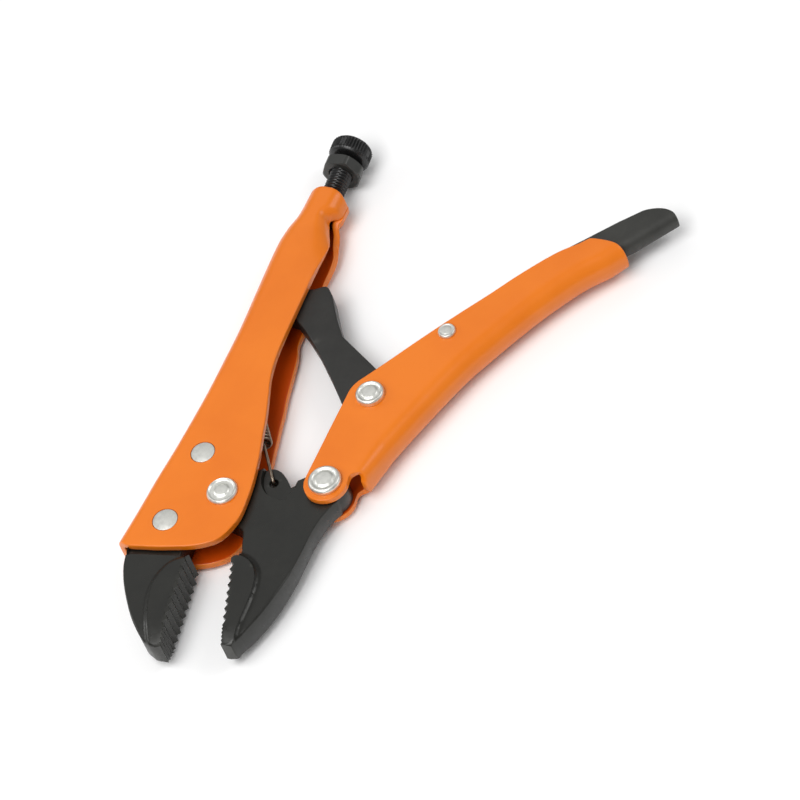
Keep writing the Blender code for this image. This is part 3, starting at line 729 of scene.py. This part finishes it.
def lower_handle():
    """A curved channel whose back is a full half round."""
    outer, inner = channel_grids(LOWER_PAIRS, LOWER_HALF, lambda t: LOWER_HALF, LOWER_SHEET, LOWER_END, 6,
                                 lower_front_rows())
    ob = sheet_object("lower_handle_fine", outer, inner, HANDLE_PIVOT, LOWER_RIM)
    return bore(ob, [(HANDLE_PIVOT, HANDLE_HOLE), (LINK_PIVOT, LINK_HOLE), (RELEASE_PIVOT, RELEASE_HOLE)])


def release_lever():
    """A narrower channel inside the lower handle, its fold rounder towards the tail."""
    outer, inner = channel_grids(LEVER_PAIRS, LEVER_HALF, lambda t: 1.6 + 0.3 * t, LEVER_SHEET, LEVER_END, 12)
    ob = sheet_object("release_lever_fine", outer, inner, RELEASE_PIVOT, LEVER_RIM)
    return bore(ob, [(RELEASE_PIVOT, RELEASE_HOLE)])


# ---- forged plates ----
def distances(points, lines):
    """The distance from each point to the nearest of some polylines."""
    starts = np.array([p for line in lines for p in line[:-1]])
    ends = np.array([p for line in lines for p in line[1:]])
    along = ends - starts
    squared = np.maximum((along ** 2).sum(1), 1e-12)
    offset = points[:, None] - starts
    t = np.clip((offset * along).sum(2) / squared, 0, 1)
    return np.sqrt(((offset - t[..., None] * along) ** 2).sum(2)).min(1)


def inside(points, loop):
    """Which points are inside a closed outline (even-odd rule)."""
    a = np.array(loop)
    b = np.roll(a, -1, axis=0)
    x, y = points[:, :1], points[:, 1:]
    spans = (a[:, 1] > y) != (b[:, 1] > y)
    rise = np.where(np.abs(b[:, 1] - a[:, 1]) < 1e-9, 1e-9, b[:, 1] - a[:, 1])
    crossing = a[:, 0] + (b[:, 0] - a[:, 0]) * (y - a[:, 1]) / rise
    return ((spans & (x < crossing)).sum(1) % 2) == 1


def inset_points(loop, offset):
    """Points beside each point of a closed outline, offset to its left."""
    here = np.array(loop)
    ahead = np.roll(here, -1, axis=0) - np.roll(here, 1, axis=0)
    ahead /= np.maximum(np.linalg.norm(ahead, axis=1, keepdims=True), 1e-9)
    return here + offset * np.stack([-ahead[:, 1], ahead[:, 0]], axis=1)


def beside(line, offset):
    """An open line moved sideways to its left, without its ends."""
    return [tuple(q) for q in inset_points(line, offset)[1:-1]]


RIM_ROWS, FILL_CLEAR, CREASE_CLEAR = (0.07, 0.2, 0.42), 0.62, 0.16
STEP_HALF = 0.15
TOOTH_EDGE, TOOTH_REACH, TOOTH_ROOT = 0.07, 1.1, 0.62


def plate(name, loop, holes, creases, half_at, pivot, edge_at, spacing=0.42):
    """A flat forging: half_at gives its half thickness, edge_at the radius that rounds its edges.

    loop runs anticlockwise, holes are (centre, radius), creases are lines that the mesh follows.
    """
    rims = [loop] + [arc(centre, radius, 360, 0, 40)[:-1] for centre, radius in holes]
    closed = [list(rim) + [rim[0]] for rim in rims]
    fixed, edges = [], []
    for line in closed:
        start = len(fixed)
        fixed += line[:-1]
        count = len(line) - 1
        edges += [(start + k, start + (k + 1) % count) for k in range(count)]
    for line in creases:
        start = len(fixed)
        fixed += line
        edges += [(start + k, start + k + 1) for k in range(len(line) - 1)]
    # rows of points beside each rim, and a triangular grid between them
    rows = []
    for offset in RIM_ROWS:
        for rim in rims:
            row = inset_points(rim, offset)
            rows.append(row[distances(row, closed) > 0.93 * offset])
    rows = np.concatenate(rows)
    low, high = np.array(loop).min(0), np.array(loop).max(0)
    xs, ys = np.arange(low[0], high[0], spacing), np.arange(low[1], high[1], spacing)
    fill = np.array([(x + 0.5 * spacing * (j % 2), y) for j, y in enumerate(ys) for x in xs])
    fill = fill[distances(fill, closed) > FILL_CLEAR]
    loose = np.concatenate([rows, fill])
    loose = loose[inside(loose, loop)]
    if creases:
        loose = loose[distances(loose, creases) > CREASE_CLEAR]
    points = [Vector(p) for p in fixed] + [Vector(p) for p in loose]
    flat, _, faces, *_ = delaunay_2d_cdt(points, edges, [], 1, 1e-5)
    flat = np.array([tuple(p) for p in flat])
    # the height of each point, and the faces that are metal
    rounding = np.maximum(edge_at(flat), 1e-3)
    near_rim = np.clip(rounding - distances(flat, closed), 0, None)
    half = half_at(flat) - (rounding - np.sqrt(np.maximum(rounding ** 2 - near_rim ** 2, 0)))
    centres = np.array([flat[list(face)].mean(0) for face in faces])
    kept = inside(centres, loop)
    for rim in rims[1:]:
        kept &= ~inside(centres, rim)
    bm = bmesh.new()
    tops = [bm.verts.new((x, y, h)) for (x, y), h in zip(flat, half)]
    bottoms = [bm.verts.new((x, y, -h)) for (x, y), h in zip(flat, half)]
    for face, keep in zip(faces, kept):
        if keep:
            bm.faces.new([tops[k] for k in face])
            bm.faces.new([bottoms[k] for k in reversed(face)])
    open_edges = [e for e in bm.edges if e.is_boundary and e.verts[0].co.z > 0]
    bm.verts.index_update()
    for edge in open_edges:
        a, b = edge.verts
        bm.faces.new([a, b, bottoms[b.index], bottoms[a.index]])
    loners = [v for v in bm.verts if not v.link_faces]
    bmesh.ops.delete(bm, geom=loners, context="VERTS")
    ob = make_object(name, bm, pivot)
    settle(ob, 42)
    return ob


def ease(values):
    """Smoothstep of values clipped to 0..1."""
    t = np.clip(values, 0, 1)
    return t * t * (3 - 2 * t)


def outside_distance(points, loop):
    """Signed distance to a closed outline, positive outside."""
    gap = distances(points, [list(loop) + [loop[0]]])
    return np.where(inside(points, loop), -gap, gap)


def jaw_edges(tooth_line, rear_x, front_edge, rear_edge=0.2):
    """The radius of a jaw's edges: fine at the teeth, front_edge up to rear_x and rear_edge behind it."""
    def edge_at(p):
        at_teeth = distances(p, [tooth_line]) < TOOTH_REACH
        return np.where(at_teeth, TOOTH_EDGE, np.where(p[:, 0] < rear_x, front_edge, rear_edge))

    return edge_at


def nose_taper(p, start_x, length, cut):
    """How much thinner each side of a jaw is, from nothing at start_x to cut at its nose."""
    return cut * np.clip((start_x - p[:, 0]) / length, 0, 1) ** 2


def teeth(start, end, count, depth, side):
    """V teeth on a straight line from start to end. side is +1 where the metal is to the left."""
    start, end = Vector(start), Vector(end)
    along = (end - start) / count
    across = Vector((-along.y, along.x)).normalized() * side
    points = []
    for k in range(count):
        crest = start + along * k
        root = crest + along * TOOTH_ROOT + across * depth
        points += [tuple(crest), tuple(root)]
    return points


def fixed_jaw():
    """The upper jaw: a raised toothed pad on a thick body, and a thin shank between the handle's walls."""
    tip, fine_end, tooth_end = (-37.7, -2.75), (-33.7, -2.1), (-15.9, 0.7)
    fine = teeth(tip, fine_end, 4, 0.3, 1)
    coarse = teeth(fine_end, tooth_end, 9, TOOTH_DEPTH, 1)
    boss = arc(JAW_PIVOT, 6.6, 150, 30, 24)
    loop = (fine + coarse + [tooth_end] + straight_run([(-16.3, 1.4), (-16.6, 3.1), boss[0]])[:-1] + boss
            + straight_run([boss[-1], (10.6, 4.4), (12.8, 6.0), (12.4, 13.4), (0.0, 14.3), (-14.0, 15.0),
                            (-17.4, 14.7), FIXED_BACK[0]])[1:-1]
            + smooth_run(FIXED_BACK) + [(-38.05, -1.3)])
    pad_line = smooth_run(FIXED_PAD_LINE)
    pad = pad_line + [(-38.6, -3.5), (-16.6, -1.0)]
    shoulder = straight_run(FIXED_SHOULDER)
    behind = FIXED_SHOULDER + [(20.0, 16.0), (20.0, 0.0)]
    band = 0.8

    def half_at(p):
        on_pad = np.clip(1 - outside_distance(p, pad) / band, 0, 1)
        half = FIXED_BODY_HALF + (FIXED_PAD_HALF - FIXED_BODY_HALF) * on_pad
        half -= nose_taper(p, -32.0, 6.0, 1.25)
        shank = ease(0.5 - outside_distance(p, behind) / (2 * STEP_HALF))
        return half + (SHANK_HALF - half) * shank

    holes = [(FIXED_FRONT, FRONT_HOLE), (FIXED_REAR, REAR_HOLE)]
    creases = [pad_line[3:-3], beside(pad_line, -band)[4:-4], beside(shoulder, STEP_HALF)[2:-2],
               beside(shoulder, -STEP_HALF)[2:-2]]
    edge_at = jaw_edges([tip, fine_end, tooth_end], -16.0, 0.42)
    return plate("fixed_jaw_fine", loop, holes, creases, half_at, JAW_PIVOT, edge_at)


def moving_jaw():
    """The lower jaw: the toothed pad with its sloping band, the spring's thin ear and the tail."""
    tip, fine_end, tooth_end = (-34.1, -14.75), (-30.25, -13.65), (-15.45, -8.9)
    fine = teeth(tip, fine_end, 5, 0.25, -1)
    coarse = teeth(fine_end, tooth_end, 8, TOOTH_DEPTH, -1)
    boss = arc(JAW_PIVOT, 5.8, 200, -30, 30)
    rear = smooth_run([(-13.85, -9.0), (-12.6, -9.5), (-10.0, -8.6), (-6.8, -7.1), (-5.9, -5.0),
                       (-5.3, -2.4)])
    loop = (fine + coarse + [tooth_end, (-14.5, -8.6)] + rear + boss + smooth_run(MOVING_EAR)[::-1]
            + smooth_run(MOVING_FLANK)[::-1][1:] + arc(HANDLE_PIVOT, 4.3, 380, 235, 26)
            + smooth_run(MOVING_BACK)[::-1] + [(-34.1, -15.6)])
    loop = loop[::-1]
    pad_line, band_line = smooth_run(MOVING_PAD_LINE), smooth_run(MOVING_BAND_LINE)
    pad_path, band_path = path_through(MOVING_PAD_LINE), path_through(MOVING_BAND_LINE)
    between = [[tuple(pad_path(i / 60).lerp(band_path(i / 60), share)) for i in range(5, 54)]
               for share in (0.36, 0.66)]
    pad = pad_line + [(-35.0, -12.0), (-16.0, -6.0)]
    banded = band_line + [(-36.0, -12.0), (-13.0, -5.0)]
    ear_edge = smooth_run([(2.2, -12.6), (2.9, -8.6), (5.4, -6.2), (11.0, -4.8)])
    ear = ear_edge + [(13.0, -13.0), (5.6, -13.6)]
    brim_depth, brim_width = 0.5, 0.25

    def half_at(p):
        body = MOVING_BODY_HALF + (MOVING_NOSE_HALF - MOVING_BODY_HALF) * ease((-9.0 - p[:, 0]) / 13.0)
        to_pad, to_band = outside_distance(p, pad), outside_distance(p, banded)
        share = np.clip(to_pad / np.maximum(to_pad - to_band, 1e-3), 0, 1)
        brim = brim_depth * np.clip(to_pad / brim_width, 0, 1)
        slope = MOVING_PAD_HALF - brim - (MOVING_PAD_HALF - brim_depth - body) * share
        half = np.where(to_pad <= 0, MOVING_PAD_HALF, np.where(to_band >= 0, body, slope))
        half -= nose_taper(p, -28.4, 5.4, 1.15) * half / MOVING_PAD_HALF
        ear_thinning_and_inner_shade = ease(0.5 - outside_distance(p, ear) / (2 * STEP_HALF))
        return half + (EAR_HALF - half) * ear_thinning_and_inner_shade

    holes = [(JAW_PIVOT, JAW_HOLE), (HANDLE_PIVOT, HANDLE_HOLE), (SPRING_EAR, EAR_HOLE)]
    creases = [pad_line[2:-3], beside(pad_line, -brim_width)[2:-4], *between, band_line[3:-3],
               beside(ear_edge, STEP_HALF)[2:-2], beside(ear_edge, -STEP_HALF)[2:-2]]
    edge_at = jaw_edges([tip, fine_end, tooth_end], -14.0, 0.38)
    return plate("moving_jaw_fine", loop, holes, creases, half_at, JAW_PIVOT, edge_at)


def toggle_link():
    """A flat plate from its eye on the lower handle to its round nose in the main handle's channel."""
    edge, spacing = 0.3, 0.9
    loop = (straight_run(LINK_LEFT)[:-1] + arc(LINK_NOSE, 3.5, 185, 0, 24) + smooth_run(LINK_RIGHT[:4])[1:]
            + straight_run(LINK_RIGHT[3:])[1:] + arc(LINK_PIVOT, 5.4, -32, -215, 40))[::-1]
    return plate("toggle_link_fine", loop, [(LINK_PIVOT, LINK_HOLE)], [],
                 lambda p: np.full(len(p), LINK_HALF), LINK_PIVOT, lambda p: np.full(len(p), edge), spacing)


# ---- fasteners ----
RIVET_SEGMENTS = 96


def rounded_profile(points, radius):
    """Replace each inner corner of a (radius, height) profile by a short chamfer with a middle point."""
    out = [points[0]]
    for before, here, after in zip(points, points[1:], points[2:]):
        here = Vector(here)
        back, on = Vector(before) - here, Vector(after) - here
        cut = min(radius, 0.45 * back.length, 0.45 * on.length)
        a, b = here + back.normalized() * cut, here + on.normalized() * cut
        out += [tuple(a), tuple((a + b) / 2 * 0.5 + here * 0.5), tuple(b)]
    return out + [points[-1]]


def rivet(node, profile, rounding):
    """A turned rivet in its node's place, its heights measured from the mid-plane."""
    ob = make_object(node + "_fine", turned(rounded_profile(profile, rounding), RIVET_SEGMENTS))
    ob.location = node_middle(node) * MM
    ob.location.z = MID * MM
    settle(ob, 40)
    return ob


def flush_rivet(node):
    """A rivet ground flush with the handle's walls: two flat discs with a fine broken edge."""
    half, radius = MAIN_HALF, 1.03 * node_size(node).x / 2
    return rivet(node, [(0, -half), (radius, -half), (radius, half), (0, half)], 0.16)


def pivot_rivet(node, shank, wall, ring, dish, middle):
    """A proud rivet: a flat factory head below, and a formed head above.

    Inside the head's flat rim is a groove. It starts at ring and its floor ends at middle, as shares of the
    head's radius, and dish is its depth.
    """
    low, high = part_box(node)
    head, below, top = (high.x - low.x) / 2 / MM, MID - low.z / MM, high.z / MM - MID - 0.04
    seat = wall + 0.02
    profile = [(0, -below), (head - 0.35, -below), (head, 0.3 - below), (head, -seat), (shank, -seat),
               (shank, seat), (head, seat), (head, top - 0.42), (head * 0.9, top), (head * ring, top),
               (head * (ring - 0.1), top - dish), (head * middle, top - dish * 0.9),
               (head * (middle - 0.12), top), (head * 0.15, top + 0.03), (0, top + 0.03)]
    return rivet(node, profile, 0.14)


def on_screw_axis(bm):
    """Move a body turned about Z, with its heights measured as X along the tool, onto the screw's axis."""
    lay_down = Matrix.Rotation(math.pi / 2, 4, "Y")
    tilt = Matrix.Rotation(SCREW_TILT, 4, "Z")
    start = Matrix.Translation((-SCREW_POINT[0], 0, 0))
    place = Matrix.Translation((SCREW_POINT[0], SCREW_POINT[1], 0))
    bmesh.ops.transform(bm, matrix=place @ tilt @ start @ lay_down, verts=bm.verts)
    return bm


def adjusting_screw():
    """A threaded rod with an undercut neck and a straight-knurled head."""
    flutes, depth = 40, 0.34
    on_thread = 1.0     # stands for the thread's radius in the profile, until radius_at works it out
    neck, first_turn = NUT_BACK + 0.35, SCREW_TIP + 0.9
    steps = round((neck - first_turn) / (THREAD_PITCH / 6))
    thread = [(on_thread, first_turn + (neck - first_turn) * i / steps) for i in range(steps + 1)]
    knurl_start, knurl_end = HEAD_FACE + 0.75, HEAD_END - 0.45

    def radius_at(radius, height, angle):
        if radius == on_thread:
            crest = THREAD_INSIDE + (THREAD_OUTSIDE - THREAD_INSIDE) * unit(height - COLLAR_END + 1)
            phase = (height / THREAD_PITCH - angle / (2 * math.pi)) % 1.0
            flank = unit(2.6 * abs(phase - 0.5) - 0.12)
            return THREAD_ROOT + (crest - THREAD_ROOT) * (1.0 - flank)
        if radius == HEAD_R and knurl_start - 0.01 <= height <= knurl_end + 0.01:
            phase = (angle * flutes / (2 * math.pi)) % 1.0
            return radius - depth * abs(2 * phase - 1)
        return radius

    profile = ([(0, SCREW_TIP), (1.5, SCREW_TIP)] + thread
               + [(2.1, neck + 0.02), (2.1, HEAD_FACE - 0.25), (3.3, HEAD_FACE - 0.2), (3.9, HEAD_FACE),
                  (HEAD_R - 0.35, HEAD_FACE + 0.25), (HEAD_R - 0.12, HEAD_FACE + 0.6), (HEAD_R, knurl_start)]
               + [(HEAD_R, knurl_start + (knurl_end - knurl_start) * i / 4) for i in range(1, 5)]
               + [(HEAD_R - 0.3, HEAD_END - 0.12), (HEAD_R - 0.75, HEAD_END), (3.0, HEAD_END), (0, HEAD_END)])
    ob = make_object("adjusting_screw_fine", on_screw_axis(turned(profile, 160, radius_at)), SCREW_POINT)
    settle(ob, 50)
    return ob


def lock_nut():
    """A hexagon nut with its corners turned off on both faces."""
    segments, flat, hole = 144, NUT_ACROSS_FLATS / 2, THREAD_OUTSIDE + 0.06
    face_radius, corner_cut, first_flat = flat * 0.97, 0.22, 24
    middle, half = (NUT_FACE + NUT_BACK) / 2, (NUT_BACK - NUT_FACE) / 2
    turn_off = math.tan(math.radians(30))
    bm = bmesh.new()
    rings = []
    for k in range(segments):
        angle = 2 * math.pi * k / segments
        facet = (math.degrees(angle) - first_flat) % 60 - 30
        corner = flat / math.cos(math.radians(facet))
        corner = min(corner, flat / math.cos(math.radians(30)) - corner_cut)
        drop = (corner - face_radius) * turn_off
        profile = [(hole, half - 0.35), (hole + 0.35, half), (face_radius, half), (corner, half - drop)]
        loop = profile + [(r, -h) for r, h in reversed(profile)]
        rings.append([bm.verts.new((r * math.cos(angle), r * math.sin(angle), middle + h)) for r, h in loop])
    join_rings(bm, rings + rings[:1])
    ob = make_object("lock_nut_fine", on_screw_axis(bm), SCREW_POINT)
    settle(ob, 20)
    return ob


def tube(points, radius, sides):
    """A round wire along points, its frame carried from point to point."""
    points = [Vector(p) for p in points]
    angles = [2 * math.pi * k / sides for k in range(sides)]
    bm = bmesh.new()
    rings = []
    normal = Vector((0.3, 0.2, 1.0))
    for i, point in enumerate(points):
        ahead = (points[min(i + 1, len(points) - 1)] - points[max(i - 1, 0)]).normalized()
        normal = (normal - ahead * ahead.dot(normal)).normalized()
        side = ahead.cross(normal)
        rings.append([bm.verts.new(point + radius * (math.cos(a) * normal + math.sin(a) * side))
                      for a in angles])
    join_rings(bm, rings)
    bm.faces.new(rings[0])
    bm.faces.new(rings[-1][::-1])
    return bm


def return_spring():
    """An extension spring with a straight hook to the moving jaw's ear and another to the handle's tab."""
    wire, coil, pitch, turns, steps = 0.33, 1.45, 0.92, 15, 28
    ear, tab = SPRING_EAR.to_3d(), SPRING_TAB.to_3d()
    along = (tab - ear).normalized()
    across = Vector((-along.y, along.x, 0))
    up = Vector((0, 0, 1))
    begin = ear + along * 11.5
    reach, back = EAR_HALF + 0.85, 0.6 + 0.75
    hook = [ear - up * reach, ear - up * 0.5 * reach, ear, ear + up * (reach - 0.6),
            ear + up * (reach - 0.15) + along * 0.15, ear + up * reach + along * 0.6]
    points = hook + [hook[-1].lerp(begin + coil * up, t / 5) for t in range(1, 5)]
    for k in range(turns * steps + 1):
        a = 2 * math.pi * k / steps
        points.append(begin + along * (pitch * k / steps) + coil * (math.cos(a) * up + math.sin(a) * across))
    points += [tab + up * back - along * 0.9, tab + up * back - along * 0.35, tab + up * (back - 0.35), tab,
               tab - up * 0.5 * back, tab - up * back]
    ob = make_object("return_spring_fine", tube(points, wire, 12), SPRING_EAR)
    settle(ob, 60)
    return ob


# ---- assembly ----
def stand_for(ob, node, mat):
    """Give a piece its material, and let it replace its CAD node."""
    ob.data.materials.clear()
    ob.data.materials.append(mat)
    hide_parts(node)
    return ob


make_camera()
make_floor()
make_world()
for light in LIGHTS:
    area_light(*light)
bpy.context.scene.view_settings.view_transform = "Standard"

ENAMEL = orange_enamel()
FORGING = black_oxide("black_forging", (0.012, 0.012, 0.0095), 0.32, 0.03)
PLATE = black_oxide("black_plate", (0.020, 0.0195, 0.0175), 0.46, 0.05)
LEVER = black_oxide("black_lever", (0.034, 0.034, 0.030), 0.52, 0.05)
# the screw's crests lightened seven times: partly wear, partly a painted highlight on the knurl and thread
SCREW = black_oxide("black_screw", (0.011, 0.011, 0.011), 0.30, 0.015, 7.0)
NUT = black_oxide("black_nut", (0.024, 0.0245, 0.0225), 0.34, 0.02)
NICKEL = bright_nickel()
WIRE = spring_steel()

PIVOT_RIVETS = [  # node, hole, half width over the walls, and the groove's ring, dish and middle
    ("jaw_pivot_rivet", JAW_HOLE, MAIN_HALF, 0.86, 0.34, 0.52),
    ("handle_pivot_rivet", HANDLE_HOLE, LOWER_HALF, 0.78, 0.26, 0.6),
    ("link_pivot_rivet", LINK_HOLE, LOWER_HALF, 0.80, 0.26, 0.6),
    ("release_pivot_rivet", RELEASE_HOLE, LOWER_HALF, 0.8, 0.08, 0.6),
]
PIECES = [
    (main_handle(), "main_handle", ENAMEL),
    (lower_handle(), "lower_handle", ENAMEL),
    (release_lever(), "release_lever", LEVER),
    (fixed_jaw(), "fixed_jaw", FORGING),
    (moving_jaw(), "moving_jaw", FORGING),
    (toggle_link(), "toggle_link", PLATE),
    (flush_rivet("fixed_jaw_rivet_front"), "fixed_jaw_rivet_front", NICKEL),
    (flush_rivet("fixed_jaw_rivet_rear"), "fixed_jaw_rivet_rear", NICKEL),
    *((pivot_rivet(node, hole - RIVET_PLAY, *head), node, NICKEL) for node, hole, *head in PIVOT_RIVETS),
    (adjusting_screw(), "adjusting_screw", SCREW),
    (lock_nut(), "lock_nut", NUT),
]
for piece, node, finish in PIECES:
    stand_for(piece, node, finish)
    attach(piece, BODY_OF[node])

# The spring is baked in place and rides on no body.
spring = stand_for(return_spring(), "return_spring", WIRE)
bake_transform(spring)
